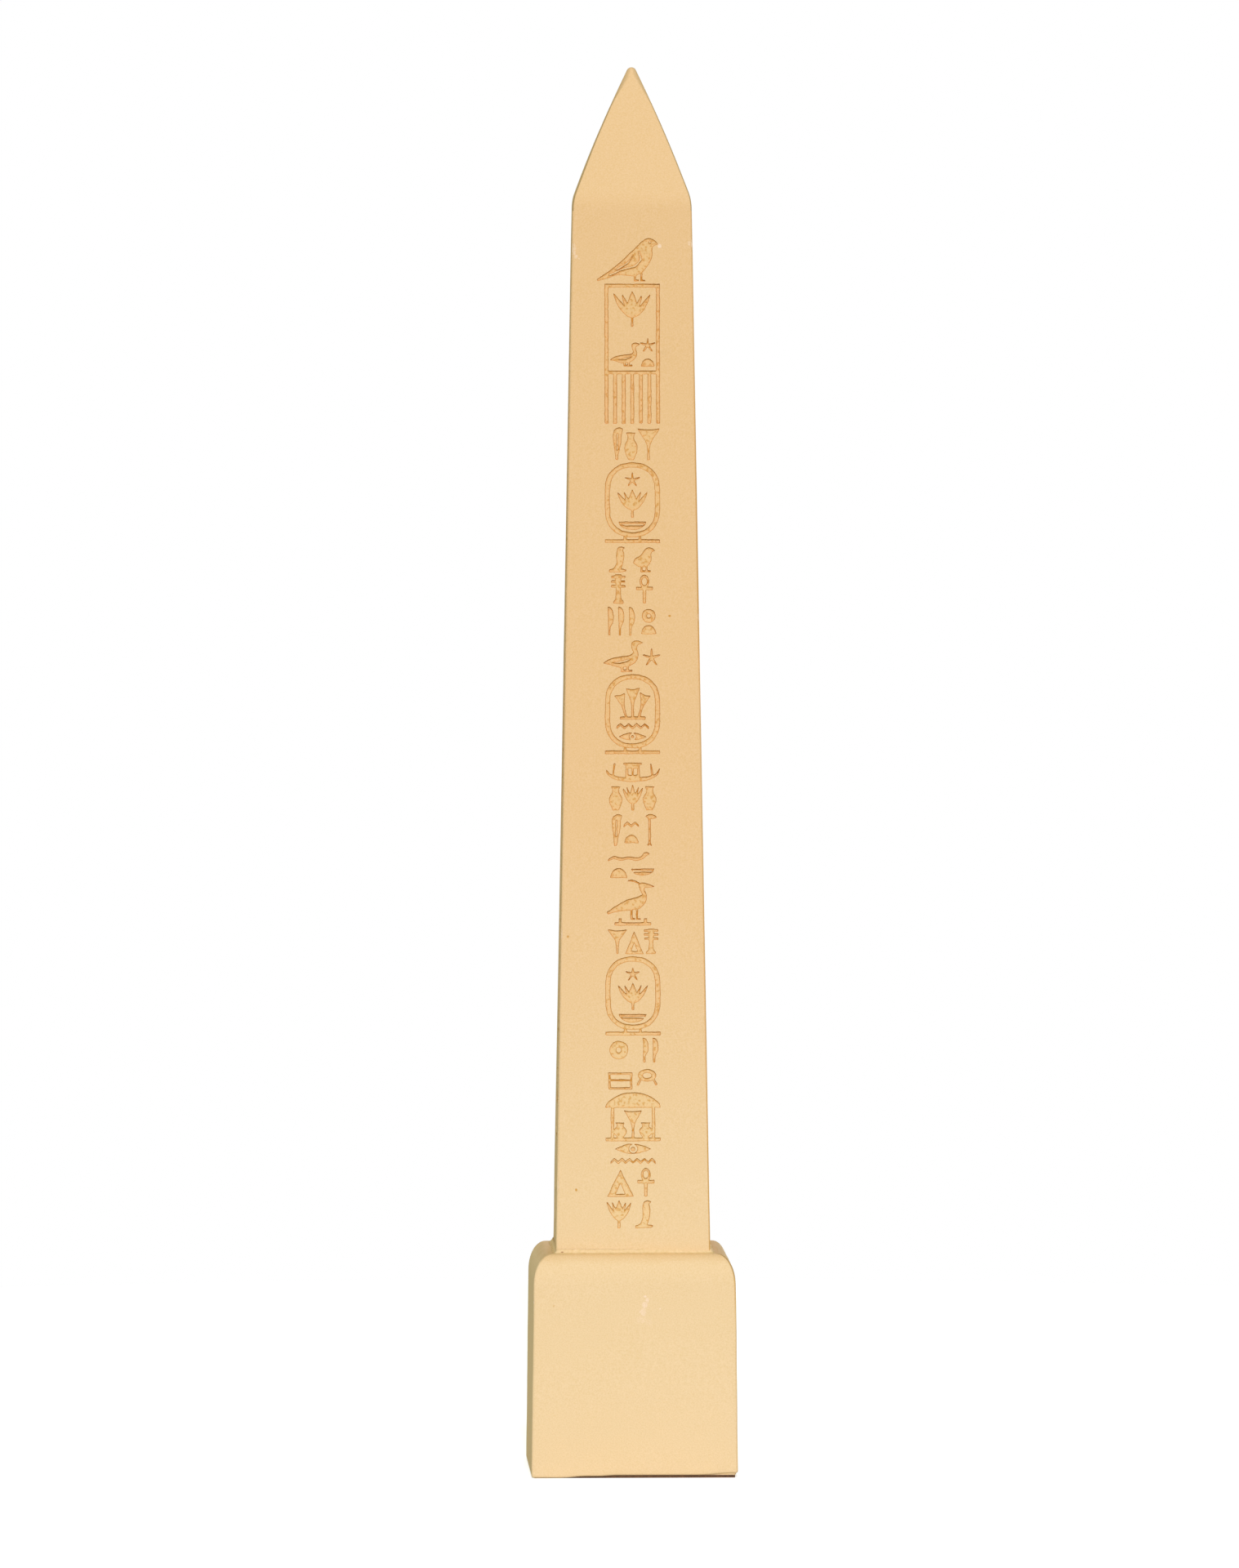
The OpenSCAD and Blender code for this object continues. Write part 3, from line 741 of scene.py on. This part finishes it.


# Acrylic hard coat over foam, rolled on and left matt: no gloss, a fine sandy grain, painted paler on the
# cap and towards the foot as painted light, a shade yellower where it pools in the cuts, brown with painted
# shade along their edges, the outer edges and shoulders, with dirt in small marks, grey with painted shade
# there too, and cream where it is rubbed
def sand_coat(name, clean, painted_lighter, pooled, brown_dirt_and_shade, grey_shade_tint, rubbed_through):
    """The coat's material: clean and the paler pair are each a darker and a lighter colour of the grain; the
    paler pair is painted light.
    """
    material, tree = new_material(name)
    spot = add(tree, "ShaderNodeTexCoord").outputs["Object"]
    cut, dirt_and_shade, grey_shade, bare = (add(tree, "ShaderNodeAttribute", attribute_name=key).outputs["Fac"]
                              for key in ("carved", "dirt_and_shade", "grey_shade", "bare"))
    # The real grain is about 0.5 mm, too fine for the render, so it is drawn at 2 mm
    grain = add(tree, "ShaderNodeTexNoise", {"Vector": spot, "Scale": per_mm(2), "Detail": 1.0})
    clouds = add(tree, "ShaderNodeTexNoise", {"Vector": spot, "Scale": per_mm(150), "Detail": 3.0})
    tone = add(tree, "ShaderNodeMath", {0: clouds.outputs["Fac"], 1: 0.12, 2: grain.outputs["Fac"]},
               operation="MULTIPLY_ADD")
    tone = add(tree, "ShaderNodeMapRange", {0: tone.outputs[0], 1: 0.31, 2: 0.81})
    coat, lighter_coat = (add(tree, "ShaderNodeMix", {0: tone.outputs[0], 6: linear(dark), 7: linear(light)},
                      data_type="RGBA") for dark, light in (clean, painted_lighter))
    # Painted light: the coat is paler towards the foot and over the start of the cap
    height = add(tree, "ShaderNodeSeparateXYZ", {0: spot}).outputs["Z"]
    foot = add(tree, "ShaderNodeMapRange", {0: height, 1: foot_painted_light[0] * MM, 2: foot_painted_light[1] * MM},
               interpolation_type="SMOOTHSTEP")
    top = add(tree, "ShaderNodeMapRange",
              {0: height, 1: cap_painted_light[0] * MM, 2: cap_painted_light[1] * MM, 3: 0.0, 4: 0.22})
    lightened = add(tree, "ShaderNodeMath", {0: foot.outputs[0], 1: top.outputs[0]}, operation="ADD")
    coat = add(tree, "ShaderNodeMix", {0: lightened.outputs[0], 6: coat.outputs[2], 7: lighter_coat.outputs[2]},
               data_type="RGBA")
    # Brown painted shade lies along the cut edges, the outer edges and the shoulders;
    # dirt lies in pits scattered over the cut floors and in small marks
    pits = add(tree, "ShaderNodeTexNoise", {"Vector": spot, "Scale": per_mm(4), "Detail": 1.0})
    pits = add(tree, "ShaderNodeMapRange", {0: pits.outputs["Fac"], 1: 0.53, 2: 0.66, 3: 0.0, 4: 0.6})
    pits = add(tree, "ShaderNodeMath", {0: pits.outputs[0], 1: cut}, operation="MULTIPLY")
    dirt_and_shade = add(tree, "ShaderNodeMath", {0: dirt_and_shade, 1: pits.outputs[0]}, operation="MAXIMUM").outputs[0]
    dirt_and_shade = near_spots(tree, spot, stained, dirt_and_shade)
    # Multiplied over the coat: a yellower tint where it pools in the cuts, brown for dirt and painted shade,
    # and grey painted shade
    for share, tint in ((cut, pooled), (dirt_and_shade, brown_dirt_and_shade), (grey_shade, grey_shade_tint)):
        coat = add(tree, "ShaderNodeMix", {0: share, 6: coat.outputs[2], 7: linear(tint)},
                   data_type="RGBA", blend_type="MULTIPLY")
    # Rubbing goes through the coat in flecks; along the shaft's front left edge they stand partly for a
    # painted highlight
    worn = near_spots(tree, spot, rubbed, bare)
    flecks = add(tree, "ShaderNodeTexNoise", {"Vector": spot, "Scale": per_mm(1.8), "Detail": 2.0})
    rub = add(tree, "ShaderNodeMath", {0: flecks.outputs["Fac"], 1: worn}, operation="ADD")
    rub = add(tree, "ShaderNodeMapRange", {0: rub.outputs[0], 1: 1.07, 2: 1.5, 3: 0.0, 4: 0.9})
    coat = add(tree, "ShaderNodeMix", {0: rub.outputs[0], 6: coat.outputs[2], 7: linear(rubbed_through)},
               data_type="RGBA")
    bump = add(tree, "ShaderNodeBump",
               {"Height": grain.outputs["Fac"], "Strength": 0.2, "Distance": 0.8 * MM})
    shader = add(tree, "ShaderNodeBsdfPrincipled", {
        "Base Color": coat.outputs[2], "Roughness": 0.9, "IOR": 1.46, "Specular IOR Level": 0.1,
        "Normal": bump.outputs["Normal"]})
    add(tree, "ShaderNodeOutputMaterial", {"Surface": shader.outputs["BSDF"]})
    return material


coat = sand_coat("acrylic_sand_coat", clean=("#e8c189", "#f0cb9b"), painted_lighter=("#ebce9b", "#f3d8ad"),
                 pooled="#fffdf3", brown_dirt_and_shade="#deb857", grey_shade_tint="#c2c4b8", rubbed_through="#fce2c8")
for piece in (carved, cap, block):
    piece.data.materials.append(coat)


# A hairline crack at the bead's left front end, given as the coat's spots are
cracked = [((-102, -112, plinth_top + 2.3), (2.2, 6, 1.1), 0.8)]


# Acrylic filler, pressed in by hand and coated: the colour of the coat where it is painted paler, with small
# lumps and darker dips
def filler_material():
    material, tree = new_material("acrylic_filler")
    spot = add(tree, "ShaderNodeTexCoord").outputs["Object"]
    lumps = add(tree, "ShaderNodeTexNoise", {"Vector": spot, "Scale": per_mm(5), "Detail": 4.0})
    lumps = lumps.outputs["Fac"]
    tone = add(tree, "ShaderNodeMapRange", {0: lumps, 1: 0.35, 2: 0.68, 3: 0.0, 4: 1.0})
    colour = add(tree, "ShaderNodeMix", {0: tone.outputs[0], 6: linear("#e9cc97"), 7: linear("#f4d8aa")},
                 data_type="RGBA")
    # Painted shade greys the bead's foot, by the tint below
    dirt_and_shade = add(tree, "ShaderNodeAttribute", attribute_name="dirt_and_shade").outputs["Fac"]
    colour = add(tree, "ShaderNodeMix", {0: dirt_and_shade, 6: colour.outputs[2], 7: linear("#d9cfaa")},
                 data_type="RGBA", blend_type="MULTIPLY")
    crack = near_spots(tree, spot, cracked, 0.0)
    colour = add(tree, "ShaderNodeMix", {0: crack, 6: colour.outputs[2], 7: linear("#a06a38")},
                 data_type="RGBA")
    bump = add(tree, "ShaderNodeBump", {"Height": lumps, "Strength": 0.7, "Distance": 1.2 * MM})
    shader = add(tree, "ShaderNodeBsdfPrincipled", {
        "Base Color": colour.outputs[2], "Roughness": 0.92, "IOR": 1.46, "Specular IOR Level": 0.1,
        "Normal": bump.outputs["Normal"]})
    add(tree, "ShaderNodeOutputMaterial", {"Surface": shader.outputs["BSDF"]})
    return material


filler = filler_material()


def filler_bead():
    """A bead that follows the joint round the shaft's foot, hollow in section, with lumps from the hand."""
    tree = bpy.data.node_groups.new("filler_bead", "GeometryNodeTree")
    sizes = {"Path width": 2 * shaft_foot, "Path height": plinth_top, "Reach": 6.0,
             "Lump size": 8, "Lump height": 1.2}
    inputs = {}
    for name, size in sizes.items():
        socket = tree.interface.new_socket(name, in_out="INPUT", socket_type="NodeSocketFloat")
        inputs[socket.identifier] = size * MM
    tree.interface.new_socket("Geometry", in_out="OUTPUT", socket_type="NodeSocketGeometry")
    given = add(tree, "NodeGroupInput").outputs
    path = add(tree, "GeometryNodeCurvePrimitiveQuadrilateral",
               {"Width": given["Path width"], "Height": given["Path width"]})
    path = add(tree, "GeometryNodeResampleCurve", {"Curve": path.outputs["Curve"], "Count": 280})
    section = add(tree, "GeometryNodeCurvePrimitiveCircle", {"Resolution": 24, "Radius": 1.0})
    place = add(tree, "GeometryNodeInputPosition").outputs[0]
    # The cube of a circle's points is a star with four hollow sides, and one of them faces out of the joint
    square = add(tree, "ShaderNodeVectorMath", {0: place, 1: place}, operation="MULTIPLY")
    cube = add(tree, "ShaderNodeVectorMath", {0: square.outputs[0], 1: place}, operation="MULTIPLY")
    star = add(tree, "ShaderNodeVectorMath", {0: cube.outputs[0], "Scale": given["Reach"]},
               operation="SCALE")
    section = add(tree, "GeometryNodeSetPosition",
                  {"Geometry": section.outputs["Curve"], "Position": star.outputs[0]})
    bead = add(tree, "GeometryNodeCurveToMesh", {
        "Curve": path.outputs["Curve"], "Profile Curve": section.outputs["Geometry"], "Fill Caps": True})
    # The noise keeps to the middle of its range, so it is stretched to the lumps' full height
    scale = add(tree, "ShaderNodeMath", {0: 1.0, 1: given["Lump size"]}, operation="DIVIDE")
    lumps = add(tree, "ShaderNodeTexNoise", {"Vector": place, "Scale": scale.outputs[0], "Detail": 2.0})
    swell = add(tree, "ShaderNodeMath", {0: lumps.outputs["Fac"], 1: 0.5}, operation="SUBTRACT")
    swell = add(tree, "ShaderNodeMath", {0: swell.outputs[0], 1: given["Lump height"]}, operation="MULTIPLY")
    swell = add(tree, "ShaderNodeMath", {0: swell.outputs[0], 1: 2.2}, operation="MULTIPLY")
    normal = add(tree, "GeometryNodeInputNormal").outputs[0]
    shift = add(tree, "ShaderNodeVectorMath", {0: normal, "Scale": swell.outputs[0]}, operation="SCALE")
    bead = add(tree, "GeometryNodeSetPosition",
               {"Geometry": bead.outputs["Mesh"], "Offset": shift.outputs[0]})
    # Painted shade darkens the last two millimetres above the plinth, where the bead meets it
    level = add(tree, "ShaderNodeSeparateXYZ", {0: place}).outputs["Z"]
    low = add(tree, "ShaderNodeMapRange", {0: level, 1: 2.0 * MM, 2: 0.6 * MM, 3: 0.0, 4: 0.5})
    bead = add(tree, "GeometryNodeStoreNamedAttribute", {
        "Geometry": bead.outputs["Geometry"], "Name": "dirt_and_shade", "Value": low.outputs[0]},
        data_type="FLOAT", domain="POINT")
    lift = add(tree, "ShaderNodeCombineXYZ", {"Z": given["Path height"]})
    bead = add(tree, "GeometryNodeSetPosition",
               {"Geometry": bead.outputs["Geometry"], "Offset": lift.outputs[0]})
    bead = add(tree, "GeometryNodeRealizeInstances", {"Geometry": bead.outputs["Geometry"]})
    bead = add(tree, "GeometryNodeSetMaterial", {"Geometry": bead.outputs["Geometry"], "Material": filler})
    add(tree, "NodeGroupOutput", {"Geometry": bead.outputs["Geometry"]})

    source = bpy.data.objects.new("bead_source", bpy.data.meshes.new("bead_source"))
    bpy.context.scene.collection.objects.link(source)
    modifier = source.modifiers.new("bead", "NODES")
    modifier.node_group = tree
    for identifier, value in inputs.items():
        modifier[identifier] = value
    mesh = bpy.data.meshes.new_from_object(source.evaluated_get(bpy.context.evaluated_depsgraph_get()))
    bpy.data.objects.remove(source)
    mesh.shade_smooth()
    piece = bpy.data.objects.new("filler_bead", mesh)
    bpy.context.scene.collection.objects.link(piece)
    return piece


bead = filler_bead()
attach(bead, "root")
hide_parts("foot_fillet")


# Hardboard, pressed from brown wood fibre and left bare: dull, finely mottled and felt-like
def hardboard_material():
    material, tree = new_material("hardboard")
    spot = add(tree, "ShaderNodeTexCoord").outputs["Object"]
    fibres = add(tree, "ShaderNodeTexNoise", {"Vector": spot, "Scale": per_mm(3.5), "Detail": 5.0})
    fibres = fibres.outputs["Fac"]
    colour = add(tree, "ShaderNodeMix", {0: fibres, 6: linear("#3b2719"), 7: linear("#7d5a3a")},
                 data_type="RGBA")
    bump = add(tree, "ShaderNodeBump", {"Height": fibres, "Strength": 0.4, "Distance": 0.6 * MM})
    shader = add(tree, "ShaderNodeBsdfPrincipled", {
        "Base Color": colour.outputs[2], "Roughness": 0.8, "IOR": 1.5, "Normal": bump.outputs["Normal"]})
    add(tree, "ShaderNodeOutputMaterial", {"Surface": shader.outputs["BSDF"]})
    return material


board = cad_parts["base_board"]
board.data.materials.clear()
board.data.materials.append(hardboard_material())


# Studio: a white floor, a lamp in front and above, a weaker one low behind, and an even white surround
floor_radius = 3.2
floor_glow = 0.56


def pale_floor():
    """A white floor that, like the surround, lights the object less than it shows."""
    material, tree = new_material("studio_floor")
    seen = add(tree, "ShaderNodeLightPath").outputs["Is Camera Ray"]
    glow = add(tree, "ShaderNodeMapRange", {0: seen, 3: 0.0, 4: floor_glow}).outputs[0]
    shader = add(tree, "ShaderNodeBsdfPrincipled", {
        "Base Color": linear("#e8e8e8"), "Roughness": 0.95, "Specular IOR Level": 0.0,
        "Emission Color": linear("#ffffff"), "Emission Strength": glow})
    add(tree, "ShaderNodeOutputMaterial", {"Surface": shader.outputs["BSDF"]})
    mesh = bpy.data.meshes.new("studio_floor")
    turns = np.linspace(0, 2 * math.pi, 128, endpoint=False)
    mesh.from_pydata([(floor_radius * math.cos(t), floor_radius * math.sin(t), 0) for t in turns], [],
                     [tuple(range(len(turns)))])
    mesh.materials.append(material)
    floor = bpy.data.objects.new("studio_floor", mesh)
    bpy.context.scene.collection.objects.link(floor)


pale_floor()


def aimed(thing, place, target):
    """Places a light or the camera, looking at a target."""
    thing.location = place
    thing.rotation_euler = (Vector(target) - Vector(place)).to_track_quat("-Z", "Y").to_euler()
    bpy.context.scene.collection.objects.link(thing)


def seen_from(azimuth, elevation):
    """The direction from the object to a viewer, azimuth degrees to the left of the front."""
    level = math.cos(math.radians(elevation))
    turn = math.radians(azimuth)
    return Vector((-math.sin(turn) * level, -math.cos(turn) * level, math.sin(math.radians(elevation))))


def sun_lamp(name, strength, azimuth, elevation, width=6, away=8):
    """A lamp that shines as from far off, so many degrees wide that its shadows have soft edges."""
    lamp = bpy.data.lights.new(name, "SUN")
    lamp.energy = strength
    lamp.angle = math.radians(width)
    lamp.color = linear("#f9f1ff")[:3]
    aimed(bpy.data.objects.new(name, lamp), away * seen_from(azimuth, elevation), (0, 0, 0))


def white_surround():
    """A white background that lights the object less than it shows, and a little yellow-green."""
    world = bpy.data.worlds.new("white_surround")
    world.use_nodes = True
    tree = world.node_tree
    tree.nodes.clear()
    light = add(tree, "ShaderNodeBackground", {"Color": linear("#f6ffe4"), "Strength": 0.46})
    shown = add(tree, "ShaderNodeBackground", {"Color": linear("#ffffff"), "Strength": 1.0})
    seen = add(tree, "ShaderNodeLightPath").outputs["Is Camera Ray"]
    surround = add(tree, "ShaderNodeMixShader", {0: seen, 1: light.outputs[0], 2: shown.outputs[0]})
    add(tree, "ShaderNodeOutputWorld", {"Surface": surround.outputs[0]})
    bpy.context.scene.world = world


sun_lamp("front_lamp", 1.98, 0, 29)
sun_lamp("back_lamp", 1.0, -175, 6)
white_surround()
bpy.context.scene.view_settings.view_transform = "Standard"

# Camera: nearly level, a little to the left of the front, through a long lens. It aims a little to the left
# of the object's middle and below it; lengths are in metres
distance = 18.0
azimuth = 1.975
elevation = 2.519
focal_length = 289.7
aim_left = 0.0169
aim_below = 0.0209
middle = Vector((0, 0, 1.0))
across = Vector((math.cos(math.radians(azimuth)), -math.sin(math.radians(azimuth)), 0))
aim = middle - aim_left * across - aim_below * Vector((0, 0, 1))
lens = bpy.data.cameras.new("camera")
lens.lens = focal_length
lens.sensor_width = 36
lens.clip_end = 200
camera = bpy.data.objects.new("camera", lens)
aimed(camera, middle + distance * seen_from(azimuth, elevation), aim)
bpy.context.scene.camera = camera
